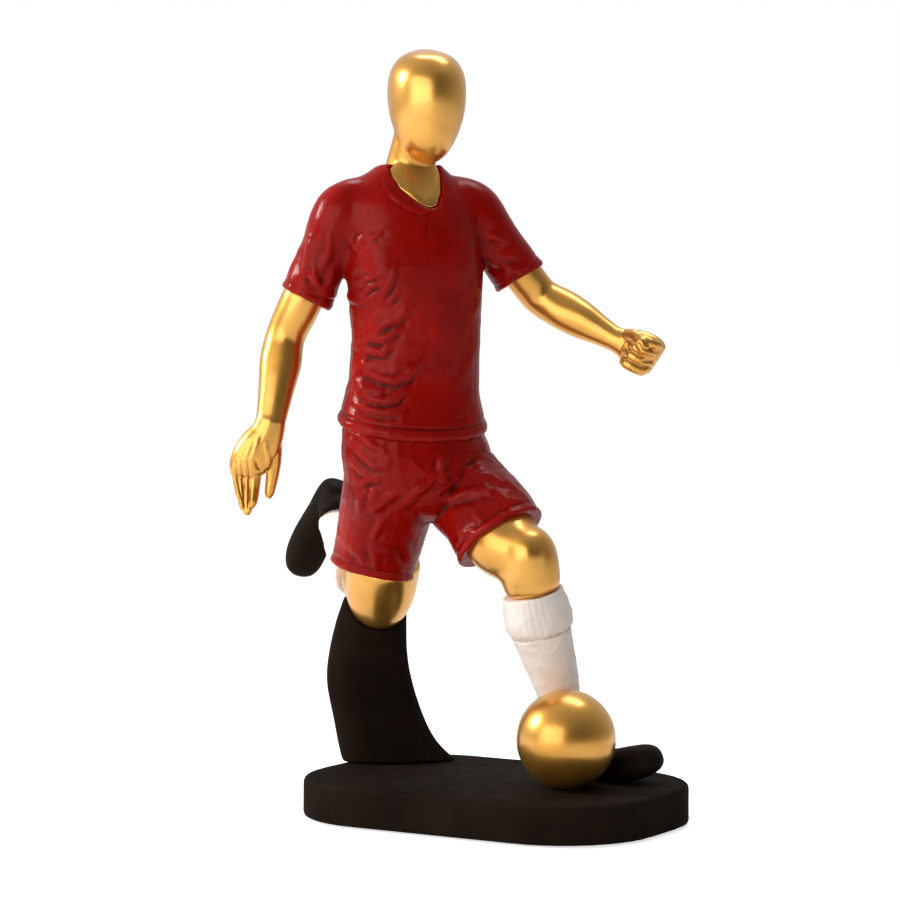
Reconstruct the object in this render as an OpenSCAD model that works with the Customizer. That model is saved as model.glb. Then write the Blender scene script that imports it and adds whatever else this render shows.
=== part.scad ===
// Figure trophy: a faceless footballer about to strike a ball, on a rounded plinth.
// Millimetres, Z up, origin at the centre of the underside.
// +X runs along the plinth's long side towards the ball, -Y is the front.
// Each casting is a node of its own; castings meet along the paint lines and
// are located by plain steel dowels set in drilled holes.

/* [Plinth] */
// length along X
plinth_length = 150;  // [120:1:180]
// depth along Y
plinth_depth = 100;   // [80:1:120]
// top face above the table
plinth_height = 16;   // [10:0.5:25]
// radius of the four corners in plan
plinth_corner = 39;   // [20:1:49]
// rounding of the top edge
plinth_edge = 1.5;    // [0.5:0.25:4]
// sheet pad let into the underside
pad_thickness = 1.5;  // [1:0.25:3]
// how far the pad stands proud of the plinth
pad_proud = 0.5;      // [0.25:0.25:1]

/* [Ball] */
// diameter of the ball
ball_diameter = 38.4; // [30:0.1:45]

/* [Steel pins] */
// large dowels at waist
waist_pin_d = 5;      // [3:0.5:6]
// medium dowels at neck, thighs and pillar
pin_d = 4;            // [3:0.5:5]
// small dowels in arms, socks, boots and ball
small_pin_d = 3;      // [2:0.5:4]
// shank of the screws driven up through the plinth
screw_d = 4;          // [3:0.5:5]
// play around every pin
pin_play = 0.05;      // [0.02:0.01:0.2]

/* [Fit] */
// gap between a casting and the socket it sits in
seat_gap = 0.1;       // [0.05:0.05:0.3]
// points around each limb
limb_points = 28;     // [16:4:40]
// steps between two drawn sections
section_steps = 3;    // [2:1:5]

/* [Hidden] */
$fn = 64;

ball_radius = ball_diameter / 2;
black = [0.13, 0.11, 0.10];
gold = [0.83, 0.62, 0.30];
red = [0.55, 0.06, 0.05];
white = [0.88, 0.84, 0.81];
steel = [0.70, 0.71, 0.72];
foam = [0.10, 0.10, 0.10];

// The body's joints, in the shared frame
neck_base = [-36.7, -2.7, 250];
right_shoulder = [-55.9, -23.0, 238.6];
right_elbow = [-81.5, -25.1, 188.7];
right_wrist = [-79.4, -38.9, 154.8];
left_shoulder = [-19.4, 15.4, 239.8];
left_elbow = [-3.3, 42.0, 204.9];
left_wrist = [28.9, 45.5, 187.8];
right_hip = [-40.6, -10.2, 132.8];
left_hip = [-26.6, 11.8, 132.1];
right_knee = [-60.2, 11.4, 83.8];
left_knee = [14.8, -0.7, 104.8];
right_ankle = [-111.6, 54.8, 111.4];
left_ankle = [23.6, 18.2, 30.0];
ball_centre = [36.0, -7.5, plinth_height + ball_radius - 0.3];

// Which way chest, hips, face and the row of hands look
chest_heading = -38;
hip_heading = -32;
face_heading = -48;
view_across = [0.866, 0.5, 0];

// ---------- lofting ----------
function unit(v) = v / norm(v);
function mix(a, b, t) = a + (b - a) * t;
function heading(a) = [cos(a), sin(a), 0];

// Catmull-Rom value between b and c
function curve(a, b, c, d, t) =
    0.5 * (2 * b + (c - a) * t + (2 * a - 5 * b + 4 * c - d) * t * t
           + (3 * b - a - 3 * c + d) * t * t * t);

// A section is [centre, half width, half depth]; flat form is one list of five numbers
function flat(s) = [s[0][0], s[0][1], s[0][2], s[1], s[2]];
function stations(list, steps) =
    let (n = len(list), q = [for (s = list) flat(s)])
    [for (i = [0 : n - 2], k = [0 : steps - 1])
        curve(q[max(i - 1, 0)], q[i], q[i + 1], q[min(i + 2, n - 1)], k / steps),
     q[n - 1]];
function centre_of(s) = [s[0], s[1], s[2]];
function bend(v, power) = sign(v) * pow(abs(v), power);

// Ring i of a loft; "across" fixes the direction of the half widths, "level" keeps rings flat
function ring(st, i, across, grow, points, power, level) =
    let (n = len(st),
         here = centre_of(st[i]),
         run = centre_of(st[min(i + 1, n - 1)]) - centre_of(st[max(i - 1, 0)]),
         along = level ? [0, 0, sign(run[2])] : unit(run),
         side = unit(across - (across * along) * along),
         front = cross(along, side),
         end = (i == 0 ? -1 : i == n - 1 ? 1 : 0) * max(grow, 0))
    [for (j = [0 : points - 1]) let (a = 360 * j / points)
        here + along * end
        + side * (st[i][3] + grow) * bend(cos(a), power)
        + front * (st[i][4] + grow) * bend(sin(a), power)];

module loft(list, across, grow = 0, points = limb_points, steps = section_steps,
            power = 1, level = false) {
    st = stations(list, steps);
    n = len(st);
    rings = [for (i = [0 : n - 1]) each ring(st, i, across, grow, points, power, level)];
    walls = [for (i = [0 : n - 2], j = [0 : points - 1])
        let (a = i * points + j, b = i * points + (j + 1) % points)
        each [[a, a + points, b + points], [a, b + points, b]]];
    caps = [[for (j = [0 : points - 1]) j],
            [for (j = [points - 1 : -1 : 0]) (n - 1) * points + j]];
    polyhedron(points = rings, faces = concat(walls, caps), convexity = 6);
}

// Fuses lofts into one clean mesh
module one_mesh() {
    resize([0, 0, 0]) children();
}

// A cylinder from a to b
module rod(a, b, d) {
    v = b - a;
    translate(a)
        rotate([0, acos(v[2] / norm(v)), atan2(v[1], v[0])])
            cylinder(h = norm(v), d = d);
}

// Half-space on the far side of "point" along "normal"
module beyond(point, normal, size = 120) {
    translate(point)
        rotate([0, acos(normal[2] / norm(normal)), atan2(normal[1], normal[0])])
            translate([-size, -size, 0]) cube([2 * size, 2 * size, size]);
}

// ---------- dowels: [from, to] ----------
waist_pins = [for (s = [-11, 11])
    let (p = [-37, -1, 153] + s * heading(chest_heading + 90) - [0, 0, s / 8])
    [p - [0, 0, 14], p + [0, 0, 14]]];

function pin_at(p, along, half) = [p - along * half, p + along * half];

right_thigh_dir = unit(right_knee - right_hip);
left_thigh_dir = unit(left_knee - left_hip);
right_shin_dir = unit(right_ankle - right_knee);
left_shin_dir = unit(left_ankle - left_knee);

// Where one casting ends and the next begins, as a fraction of the bone
arm_start = 0.62;
thigh_end = 0.66;
right_sock_start = 0.30;
right_sock_end = 0.93;
left_sock_start = 0.20;
left_sock_end = 0.93;

right_arm_top = mix(right_shoulder, right_elbow, arm_start);
left_arm_top = mix(left_shoulder, left_elbow, arm_start);
right_thigh_cut = mix(right_hip, right_knee, thigh_end);
left_thigh_cut = mix(left_hip, left_knee, thigh_end);
right_sock_top = mix(right_knee, right_ankle, right_sock_start);
right_sock_foot = mix(right_knee, right_ankle, right_sock_end);
left_sock_top = mix(left_knee, left_ankle, left_sock_start);
left_sock_foot = mix(left_knee, left_ankle, left_sock_end);
neck_pin_foot = [-37.2, -3.2, 236];
pillar_pin_foot = [-65.0, 14.5, 62];

medium_pins = [
    [neck_pin_foot, neck_pin_foot + [1.6, -0.6, 24]],
    pin_at(right_thigh_cut, right_thigh_dir, 8),
    pin_at(left_thigh_cut, left_thigh_dir, 8),
    [pillar_pin_foot, pillar_pin_foot + [0, 0, 19]]
];
small_pins = [
    pin_at(right_arm_top, unit(right_elbow - right_shoulder), 7),
    pin_at(left_arm_top, unit(left_elbow - left_shoulder), 7),
    pin_at(right_sock_top, right_shin_dir, 7),
    pin_at(right_sock_foot, right_shin_dir, 5),
    pin_at(left_sock_top, left_shin_dir, 7),
    pin_at(left_sock_foot, left_shin_dir, 5),
    [[ball_centre[0], ball_centre[1], 6], [ball_centre[0], ball_centre[1], 24]]
];
// [foot of the screw's head, length]
screws = [[[-63.0, 14.5, 3], 24], [[-51.0, 24.0, 3], 24], [[24, 18.5, 3], 19]];

module pins(list, d) {
    for (p = list) rod(p[0], p[1], d);
}

module pin_holes() {
    pins(waist_pins, waist_pin_d + 2 * pin_play);
    pins(medium_pins, pin_d + 2 * pin_play);
    pins(small_pins, small_pin_d + 2 * pin_play);
}

module screw(at, length, play = 0) {
    translate(at) {
        cylinder(h = 2.4 + play, d1 = 2 * screw_d + 2 * play, d2 = screw_d + 2 * play);
        cylinder(h = length + play, d = screw_d + 2 * play);
    }
}

module screw_holes() {
    for (s = screws) {
        screw(s[0], s[1], pin_play);
        translate([s[0][0], s[0][1], 0])
            cylinder(h = s[0][2] + 0.01, d = 2 * screw_d + 2 * pin_play);
    }
}

// ---------- plinth ----------
module plinth_solid(length, depth, corner, height, edge) {
    dx = length / 2 - corner;
    dy = depth / 2 - corner;
    for (x = [-dx, dx], y = [-dy, dy])
        translate([x, y, 0]) rotate_extrude() rim(corner, height, edge);
    translate([-dx, 0, 0]) rotate([90, 0, 90]) linear_extrude(2 * dx) {
        rim(depth / 2, height, edge);
        mirror([1, 0]) rim(depth / 2, height, edge);
    }
    translate([0, dy, 0]) rotate([90, 0, 0]) linear_extrude(2 * dy) {
        rim(length / 2, height, edge);
        mirror([1, 0]) rim(length / 2, height, edge);
    }
}

// Half profile with a rounded top corner
module rim(reach, height, edge) {
    square([reach - edge, height]);
    square([reach, height - edge]);
    translate([reach - edge, height - edge]) circle(edge);
}

module plinth() {
    color(black) difference() {
        translate([0, 0, pad_proud])
            plinth_solid(plinth_length, plinth_depth, plinth_corner,
                         plinth_height - pad_proud, plinth_edge);
        translate([0, 0, -1]) pad_outline(5, pad_thickness + 1);
        screw_holes();
        pins([small_pins[6]], small_pin_d + 2 * pin_play);
    }
}

module pad_outline(inset, thickness) {
    corner = plinth_corner - inset;
    dx = plinth_length / 2 - plinth_corner;
    dy = plinth_depth / 2 - plinth_corner;
    linear_extrude(thickness) {
        for (x = [-dx, dx], y = [-dy, dy]) translate([x, y]) circle(corner);
        square([2 * dx, plinth_depth - 2 * inset], center = true);
        square([plinth_length - 2 * inset, 2 * dy], center = true);
    }
}

module base_pad() {
    color(foam) pad_outline(5.2, pad_thickness - 0.02);
}

module base_screws() {
    color(steel) for (s = screws) screw(s[0], s[1]);
}

module ball() {
    color(gold) difference() {
        translate(ball_centre) sphere(ball_radius, $fn = 96);
        translate([0, -40, -10]) cube([80, 80, plinth_height + 10]);
        pins([small_pins[6]], small_pin_d + 2 * pin_play);
    }
}

// ---------- pillar: a curved blade standing behind the right knee ----------
module pillar_blade() {
    loft([
        [[-53.6, 22.0, 13.0], 25.5, 10.0],
        [[-57.2, 19.6, 17.5], 22.8, 9.2],
        [[-60.6, 16.8, 25.0], 20.2, 9.0],
        [[-63.6, 14.4, 36.0], 18.5, 9.2],
        [[-66.0, 12.4, 49.0], 17.5, 9.4],
        [[-66.8, 12.6, 61.0], 16.0, 9.6],
        [[-66.6, 15.2, 74.0], 14.4, 9.8],
        [[-66.0, 18.6, 86.0], 12.4, 9.5]
    ], [0.78, 0.62, 0], power = 0.9, level = true);
}

module support_pillar() {
    color(black) difference() {
        one_mesh() difference() {
            pillar_blade();
            beyond([0, 0, plinth_height], [0, 0, -1], 200);
            right_leg_loft(seat_gap);
            right_sock_loft(seat_gap);
        }
        screw_holes();
        pins([medium_pins[3]], pin_d + 2 * pin_play);
    }
}

// ---------- legs ----------
module right_leg_loft(grow = 0) {
    thigh = right_knee - right_hip;
    shin = right_ankle - right_knee;
    loft([
        [right_hip + thigh * thigh_end, 14.8, 14.2],
        [right_hip + thigh * 0.84, 14.5, 14.0],
        [right_knee + thigh * -0.03, 13.9, 13.4],
        [right_knee + thigh * 0.09, 12.0, 11.8],
        [right_knee + thigh * 0.18, 8.4, 8.6],
        [right_knee + thigh * 0.235, 3.0, 3.0]
    ], view_across, grow);
    loft([
        [right_knee - shin * 0.14, 3.0, 3.0],
        [right_knee - shin * 0.11, 8.2, 8.2],
        [right_knee - shin * 0.03, 11.6, 11.6],
        [right_knee + shin * 0.10, 11.9, 12.2],
        [right_knee + shin * right_sock_start, 10.8, 11.2]
    ], view_across, grow);
}

module right_sock_loft(grow = 0) {
    shin = right_ankle - right_knee;
    loft([
        [right_knee + shin * right_sock_start, 12.6, 12.8],
        [right_knee + shin * 0.36, 13.2, 13.4],
        [right_knee + shin * 0.43, 12.2, 12.6],
        [right_knee + shin * 0.47, 10.9, 11.4],
        [right_knee + shin * 0.62, 10.2, 10.6],
        [right_knee + shin * 0.80, 8.0, 8.2],
        [right_knee + shin * right_sock_end, 7.0, 7.2]
    ], view_across, grow);
}

module left_leg_loft(grow = 0) {
    thigh = left_knee - left_hip;
    shin = left_ankle - left_knee;
    loft([
        [left_hip + thigh * 0.56 - [0.8, 0.5, 1.0], 12.6, 12.4],
        [left_hip + thigh * thigh_end - [1.3, 0.7, 1.9], 14.0, 13.6],
        [left_hip + thigh * 0.76 - [1.5, 0.8, 2.5], 14.6, 13.9],
        [left_hip + thigh * 0.86 - [1.0, 0.5, 2.1], 13.6, 13.0],
        [left_hip + thigh * 0.97 - [0.3, 0.1, 0.7], 12.1, 11.6],
        [left_hip + thigh * 1.07, 10.0, 9.6],
        [left_hip + thigh * 1.15, 6.6, 6.4],
        [left_hip + thigh * 1.18, 2.4, 2.4]
    ], view_across, grow);
    loft([
        [left_knee - shin * 0.14, 3.0, 3.0],
        [left_knee - shin * 0.11, 8.0, 8.0],
        [left_knee - shin * 0.02, 11.6, 11.6],
        [left_knee - view_across * 0.6 + shin * 0.12, 11.5, 11.8],
        [left_knee - view_across * 0.8 + shin * left_sock_start, 10.7, 11.1]
    ], view_across, grow);
}

module left_sock_loft(grow = 0) {
    shin = left_ankle - left_knee;
    calf = view_across * -1.2;
    loft([
        [left_knee + calf + shin * left_sock_start, 11.9, 12.3],
        [left_knee + calf + shin * 0.25, 12.7, 13.1],
        [left_knee + calf + shin * 0.29, 13.2, 13.6],
        [left_knee + calf + shin * 0.335, 13.5, 14.0],
        [left_knee + calf + shin * 0.385, 13.1, 13.7],
        [left_knee + calf + shin * 0.41, 12.0, 12.7],
        [left_knee + calf / 2 + shin * 0.55, 10.5, 11.4],
        [left_knee + shin * 0.70, 8.8, 9.4],
        [left_knee + shin * 0.84, 7.4, 7.8],
        [left_knee + shin * left_sock_end, 6.9, 7.2]
    ], view_across, grow);
}

module right_leg() {
    color(gold) difference() {
        one_mesh() right_leg_loft();
        pins([medium_pins[1], medium_pins[3]], pin_d + 2 * pin_play);
        pins([small_pins[2]], small_pin_d + 2 * pin_play);
    }
}

module right_sock() {
    color(white) difference() {
        one_mesh() difference() {
            right_sock_loft();
            right_leg_loft(seat_gap);
        }
        pins([small_pins[2], small_pins[3]], small_pin_d + 2 * pin_play);
        pins([medium_pins[3]], pin_d + 2 * pin_play);
    }
}

module left_leg() {
    color(gold) difference() {
        one_mesh() left_leg_loft();
        pins([medium_pins[2]], pin_d + 2 * pin_play);
        pins([small_pins[4]], small_pin_d + 2 * pin_play);
    }
}

module left_sock() {
    color(white) difference() {
        one_mesh() difference() {
            left_sock_loft();
            left_leg_loft(seat_gap);
        }
        pins([small_pins[4], small_pins[5]], small_pin_d + 2 * pin_play);
    }
}

// ---------- boots ----------
// A boot drawn from heel to toe along "forward", sole down along "down"
module boot_loft(heel, forward, down, grow = 0) {
    side = cross(down, forward);
    function at(x, h) = heel + forward * x - down * h;
    loft([
        [at(0.2, 7.0), 3.0, 3.5],
        [at(1.2, 7.2), 5.4, 6.2],
        [at(4.0, 7.6), 7.2, 7.6],
        [at(10.0, 7.8), 8.0, 7.8],
        [at(18.0, 6.8), 7.8, 6.8],
        [at(27.0, 6.4), 8.4, 6.4],
        [at(36.0, 7.8), 8.7, 6.8],
        [at(42.0, 9.6), 7.8, 6.2],
        [at(46.0, 11.0), 5.6, 4.6],
        [at(47.8, 11.8), 2.2, 1.9]
    ], side, grow, power = 0.82);
    loft([
        [at(8.0, 6.0), 7.0, 6.6],
        [at(8.6, 13.0), 7.6, 7.6],
        [at(9.0, 18.0), 8.0, 8.4],
        [at(9.2, 20.5), 8.0, 8.4]
    ], side, grow);
}

left_boot_heel = [14.5, 18.6, plinth_height - 0.6];
right_foot_dir = unit([-30.8, 7.5, -43.3]);
right_sole_dir = unit(right_shin_dir - (right_shin_dir * right_foot_dir) * right_foot_dir);
right_boot_heel = right_ankle - right_foot_dir * 13.5 + right_sole_dir * 14.0;

module left_boot() {
    color(black) difference() {
        one_mesh() difference() {
            boot_loft(left_boot_heel, [1, 0.04, 0], [0, 0, -1]);
            beyond([0, 0, plinth_height], [0, 0, -1], 200);
            left_sock_loft(seat_gap);
            translate(ball_centre) sphere(ball_radius + seat_gap, $fn = 96);
        }
        screw_holes();
        pins([small_pins[5]], small_pin_d + 2 * pin_play);
    }
}

module right_boot() {
    color(black) difference() {
        one_mesh() difference() {
            boot_loft(right_boot_heel, right_foot_dir, right_sole_dir);
            right_sock_loft(seat_gap);
        }
        pins([small_pins[3]], small_pin_d + 2 * pin_play);
    }
}

// ---------- clothes ----------
hem_point = [-37, -1, 153.9];
hem_up = unit([0.21, -0.14, 1]);

module torso_loft(grow = 0) {
    loft([
        [[-37.0, -1.5, 140.0], 31.4, 23.2],
        [[-37.0, -1.5, 154.0], 30.4, 22.2],
        [[-37.4, -0.9, 164.0], 28.0, 20.6],
        [[-36.8, -0.5, 172.0], 26.8, 19.8],
        [[-35.6, -0.9, 188.0], 26.2, 19.6],
        [[-35.3, -1.8, 204.0], 27.2, 20.6],
        [[-35.2, -3.0, 219.0], 28.4, 21.2],
        [[-36.2, -3.6, 231.0], 28.4, 20.2],
        [[-37.2, -4.1, 241.0], 28.2, 17.8],
        [[-37.4, -4.3, 247.5], 24.4, 14.8],
        [[-37.3, -4.1, 252.4], 18.2, 12.6],
        [[-37.0, -4.0, 256.6], 12.8, 11.2]
    ], heading(chest_heading + 90), grow, points = 32, level = true);
}

module sleeve_loft(shoulder, cuff, cuff_normal) {
    run = cuff - shoulder;
    difference() {
        loft([
            [mix(shoulder, neck_base, 0.60) + [0, 0, -3.4], 8.0, 9.0],
            [mix(shoulder, neck_base, 0.26) + [0, 0, 0.2], 9.8, 10.4],
            [shoulder + run * 0.02, 11.2, 11.6],
            [shoulder + run * 0.35, 10.5, 11.6],
            [shoulder + run * 0.70, 10.4, 11.2],
            [shoulder + run, 10.7, 11.2],
            [shoulder + run * 1.16, 11.0, 11.4]
        ], view_across);
        beyond(cuff, cuff_normal, 40);
    }
}

right_cuff = [-72.0, -24.3, 204.3];
left_cuff = [-7.8, 33.6, 212.3];

// The scooped V of the collar, as [across, height], cut through the front of the chest
collar_points = [[-11.4, 259], [-10.9, 252], [-8.6, 246.6], [-3.2, 241.6], [2.6, 238.7],
                 [6.4, 240.2], [9.0, 245.2], [10.4, 252], [10.8, 259]];
module collar_v(grow = 0) {
    translate([-37, -4, 0]) rotate([0, 0, chest_heading]) translate([6 - grow, 0, 0])
        rotate([90, 0, 90]) linear_extrude(20 + grow)
            offset(delta = grow) polygon(collar_points);
}

module neck_loft(grow = 0) {
    loft([
        [[-36.9, -3.6, 244.0], 9.6, 9.4],
        [[-36.8, -3.6, 249.0], 10.6, 9.8],
        [[-36.2, -4.0, 255.0], 10.2, 9.2],
        [[-34.8, -5.0, 260.5], 9.2, 8.8],
        [[-32.4, -6.0, 266.5], 8.9, 8.8],
        [[-30.5, -6.2, 272.0], 8.0, 8.0]
    ], heading(face_heading + 90), grow);
}

module jersey() {
    color(red) difference() {
        one_mesh() difference() {
            union() {
                torso_loft();
                sleeve_loft(right_shoulder, right_cuff, [-0.40, -0.22, -0.89]);
                sleeve_loft(left_shoulder, left_cuff, [0.44, 0.27, -0.86]);
            }
            beyond(hem_point, -hem_up);
            collar_v(seat_gap);
            neck_loft(seat_gap);
            right_arm_loft(seat_gap);
            left_arm_loft(seat_gap);
        }
        pins(waist_pins, waist_pin_d + 2 * pin_play);
        pins([medium_pins[0]], pin_d + 2 * pin_play);
        pins([small_pins[0], small_pins[1]], small_pin_d + 2 * pin_play);
    }
}

module pelvis_loft() {
    loft([
        [[-36.8, -1.5, 166.0], 28.2, 20.0],
        [[-36.6, -1.4, 152.0], 29.4, 20.8],
        [[-35.6, -0.8, 144.0], 31.0, 22.0],
        [[-34.6, -0.2, 136.0], 31.4, 22.6],
        [[-33.6, 0.6, 128.0], 29.6, 21.6],
        [[-32.6, 1.4, 121.0], 24.0, 17.4],
        [[-32.0, 2.0, 117.0], 14.0, 11.0]
    ], heading(hip_heading + 90), points = 32, level = true);
}

module shorts() {
    right_hem = [-57.9, 2.4, 95.6];
    left_hem = [-0.6, 4.4, 109.2];
    color(red) difference() {
        one_mesh() difference() {
            union() {
                pelvis_loft();
                difference() {
                    loft([
                        [right_hip + [1, 0, 12], 15.0, 15.0],
                        [right_hip, 19.0, 18.4],
                        [mix(right_hip, right_hem, 0.33), 18.4, 18.0],
                        [mix(right_hip, right_hem, 0.66), 17.4, 17.2],
                        [right_hem, 17.4, 17.2],
                        [mix(right_hip, right_hem, 1.35), 17.6, 17.4]
                    ], view_across);
                    beyond(right_hem, [-0.23, -0.02, -0.97], 60);
                }
                difference() {
                    loft([
                        [left_hip + [-2, 0, 12], 14.0, 14.0],
                        [left_hip + [0, 0, 2], 18.0, 17.6],
                        [mix(left_hip, left_hem, 0.35) + [0.6, 0, 1.8], 18.3, 17.6],
                        [mix(left_hip, left_hem, 0.68) + [1.2, 0, 2.5], 18.5, 17.7],
                        [left_hem + [0.8, 0, 0.9], 18.9, 18.3],
                        [mix(left_hip, left_hem, 1.35), 19.4, 18.4]
                    ], view_across);
                    beyond(left_hem, [0.64, -0.07, -0.76], 60);
                }
            }
            beyond(hem_point, hem_up);
            right_leg_loft(seat_gap);
            left_leg_loft(2 * seat_gap);
        }
        pins(waist_pins, waist_pin_d + 2 * pin_play);
        pins([medium_pins[1], medium_pins[2]], pin_d + 2 * pin_play);
    }
}

// ---------- arms ----------
module right_arm_loft(grow = 0) {
    upper = right_elbow - right_shoulder;
    fore = right_wrist - right_elbow;
    loft([
        [right_shoulder + upper * arm_start, 8.0, 8.0],
        [right_shoulder + upper * 0.80, 8.0, 8.2],
        [right_elbow, 7.5, 7.8],
        [right_elbow + fore * 0.28, 7.7, 7.4],
        [right_elbow + fore * 0.62, 7.0, 6.2],
        [right_elbow + fore * 0.85, 6.2, 5.2],
        [right_wrist, 5.7, 4.6]
    ], view_across, grow);
}

module left_arm_loft(grow = 0) {
    upper = left_elbow - left_shoulder;
    fore = left_wrist - left_elbow;
    loft([
        [left_shoulder + upper * arm_start, 7.6, 7.6],
        [left_shoulder + upper * 0.84, 7.6, 7.8],
        [left_elbow, 7.6, 7.9],
        [left_elbow + fore * 0.25, 7.8, 7.6],
        [left_elbow + fore * 0.55, 7.5, 7.0],
        [left_elbow + fore * 0.82, 5.8, 5.4],
        [left_wrist, 4.9, 4.6]
    ], [0.25, 0.1, 1], grow);
}

// Right hand: relaxed, fingers gathered to a point, back of the hand to the front
hand_down = unit([-5.4, -5.0, -35.0]);
hand_side = unit(view_across - (view_across * hand_down) * hand_down);
hand_out = cross(hand_side, hand_down);
function on_hand(s, t, o) = right_wrist + hand_side * s + hand_down * t + hand_out * o;

// [side of knuckle, reach of knuckle, side of tip, reach of tip, thickness]
right_fingers = [[-10.2, 17.0, -6.0, 31.5, 2.4], [-7.6, 18.6, -3.9, 35.2, 2.6],
                 [-4.8, 19.2, -2.0, 36.8, 2.7], [-2.1, 18.6, -0.6, 33.6, 2.6]];

module right_hand() {
    loft([
        [on_hand(0.0, -2.0, 0), 5.8, 4.7],
        [on_hand(-0.4, 3.0, 0), 6.6, 4.5],
        [on_hand(-1.9, 8.0, 0), 7.9, 4.4],
        [on_hand(-4.3, 14.0, 0), 8.2, 4.2],
        [on_hand(-5.8, 19.0, 0), 7.0, 3.6],
        [on_hand(-5.9, 22.0, 0), 5.4, 2.6]
    ], view_across, points = 24);
    for (f = right_fingers)
        loft([
            [on_hand(f[0], f[1] - 3, 0.2), f[4] * 0.9, f[4]],
            [on_hand(f[0], f[1] + 1, 0.6), f[4], f[4] * 1.05],
            [on_hand(mix(f[0], f[2], 0.55), mix(f[1], f[3], 0.5), 0.4), f[4] * 0.92, f[4] * 0.95],
            [on_hand(f[2], f[3] - 2, -1.4), f[4] * 0.74, f[4] * 0.8],
            [on_hand(f[2], f[3], -2.0), f[4] * 0.3, f[4] * 0.3]
        ], view_across, points = 12, steps = 2);
    loft([
        [on_hand(1.6, 2.0, 0.2), 3.6, 3.6],
        [on_hand(2.6, 8.5, 1.2), 3.8, 3.6],
        [on_hand(4.2, 15.0, 2.0), 3.1, 3.1],
        [on_hand(4.8, 22.0, 2.2), 2.4, 2.6],
        [on_hand(4.9, 27.0, 2.0), 1.9, 2.0],
        [on_hand(4.8, 28.8, 1.8), 0.8, 0.8]
    ], view_across, points = 14, steps = 2);
}

// Left hand: a closed fist, curled fingers to the front
fist_along = unit([11.4, 2.6, -5.6]);
fist_up = unit([0, 0, 1] - fist_along[2] * fist_along);
fist_front = cross(fist_along, fist_up);
function on_fist(a, u, f) = left_wrist + fist_along * a + fist_up * u + fist_front * f;

module left_hand() {
    loft([
        [on_fist(-2.0, 0, 0), 4.8, 4.6],
        [on_fist(3.0, 0.3, 0), 5.6, 4.8],
        [on_fist(8.0, 0.4, -0.3), 7.6, 5.2],
        [on_fist(13.0, 0.2, -0.8), 8.4, 5.0],
        [on_fist(17.0, 0.0, -1.4), 7.8, 4.4],
        [on_fist(18.8, -0.2, -1.6), 6.0, 3.0]
    ], [0.25, 0.1, 1], points = 24);
    loft([
        [on_fist(4.0, 0.2, 1.5), 3.0, 3.0],
        [on_fist(9.0, 0.2, 2.6), 6.6, 3.6],
        [on_fist(13.5, 0.0, 2.8), 7.2, 3.6],
        [on_fist(16.5, -0.2, 2.4), 6.6, 3.0]
    ], [0.25, 0.1, 1], points = 16, steps = 2);
    for (k = [0 : 3])
        loft([
            [on_fist(17.4 - 0.6 * k, 5.6 - 3.9 * k, 0.6), 2.0, 1.8],
            [on_fist(17.2 - 0.6 * k, 5.6 - 3.9 * k, 3.0), 2.25, 2.2],
            [on_fist(14.8 - 0.5 * k, 5.5 - 3.8 * k, 5.6), 2.3, 2.2],
            [on_fist(10.6 - 0.4 * k, 5.3 - 3.7 * k, 5.8), 2.25, 2.1],
            [on_fist(8.4 - 0.3 * k, 5.2 - 3.6 * k, 4.0), 1.9, 1.7]
        ], [0.25, 0.1, 1], points = 12, steps = 2);
    loft([
        [on_fist(4.0, 3.6, 2.0), 2.8, 2.6],
        [on_fist(8.0, 5.2, 5.2), 2.9, 2.5],
        [on_fist(11.6, 4.4, 7.4), 2.4, 2.1],
        [on_fist(14.6, 2.4, 8.0), 1.9, 1.7],
        [on_fist(15.8, 1.4, 7.9), 0.8, 0.7]
    ], [0.25, 0.1, 1], points = 14, steps = 2);
}

module right_arm() {
    color(gold) difference() {
        one_mesh() {
            right_arm_loft();
            right_hand();
        }
        pins([small_pins[0]], small_pin_d + 2 * pin_play);
    }
}

module left_arm() {
    color(gold) difference() {
        one_mesh() {
            left_arm_loft();
            left_hand();
        }
        pins([small_pins[1]], small_pin_d + 2 * pin_play);
    }
}

// ---------- head: a smooth blank egg on a neck ----------
module head_loft() {
    ahead = heading(face_heading);
    axis = [-27.6, -5.6, 0];
    function at(z, forward) = axis + [0, 0, z] + ahead * forward;
    loft([
        [at(258.6, 6.6), 2.4, 3.0],
        [at(260.2, 5.8), 6.0, 7.4],
        [at(262.6, 4.6), 8.6, 10.6],
        [at(266.4, 3.0), 11.0, 13.4],
        [at(270.4, 1.6), 12.9, 15.6],
        [at(276.0, 0.3), 14.6, 17.6],
        [at(282.0, -0.4), 15.35, 18.5],
        [at(288.0, -0.6), 15.3, 18.5],
        [at(293.0, -0.6), 14.2, 17.2],
        [at(297.4, -0.4), 11.4, 14.0],
        [at(300.0, -0.2), 7.4, 9.4],
        [at(301.2, 0), 2.6, 3.4]
    ], heading(face_heading + 90), points = 32, steps = 3);
}

module head() {
    color(gold) difference() {
        one_mesh() {
            head_loft();
            neck_loft();
            intersection() {
                torso_loft(-1.2);
                collar_v();
            }
        }
        pins([medium_pins[0]], pin_d + 2 * pin_play);
    }
}

// ---------- steel ----------
module waist_dowels() {
    color(steel) pins(waist_pins, waist_pin_d);
}

module medium_dowels() {
    color(steel) pins(medium_pins, pin_d);
}

module small_dowels() {
    color(steel) pins(small_pins, small_pin_d);
}

plinth();
base_pad();
base_screws();
support_pillar();
ball();
left_boot();
left_sock();
left_leg();
right_leg();
right_sock();
right_boot();
shorts();
jersey();
right_arm();
left_arm();
head();
waist_dowels();
medium_dowels();
small_dowels();
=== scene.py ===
"""Looks of the figure trophy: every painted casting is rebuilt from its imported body,
softened like cast resin, sculpted with folds and creases, and given its paint."""
import math

import bpy
import numpy as np
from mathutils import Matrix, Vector, noise


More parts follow.
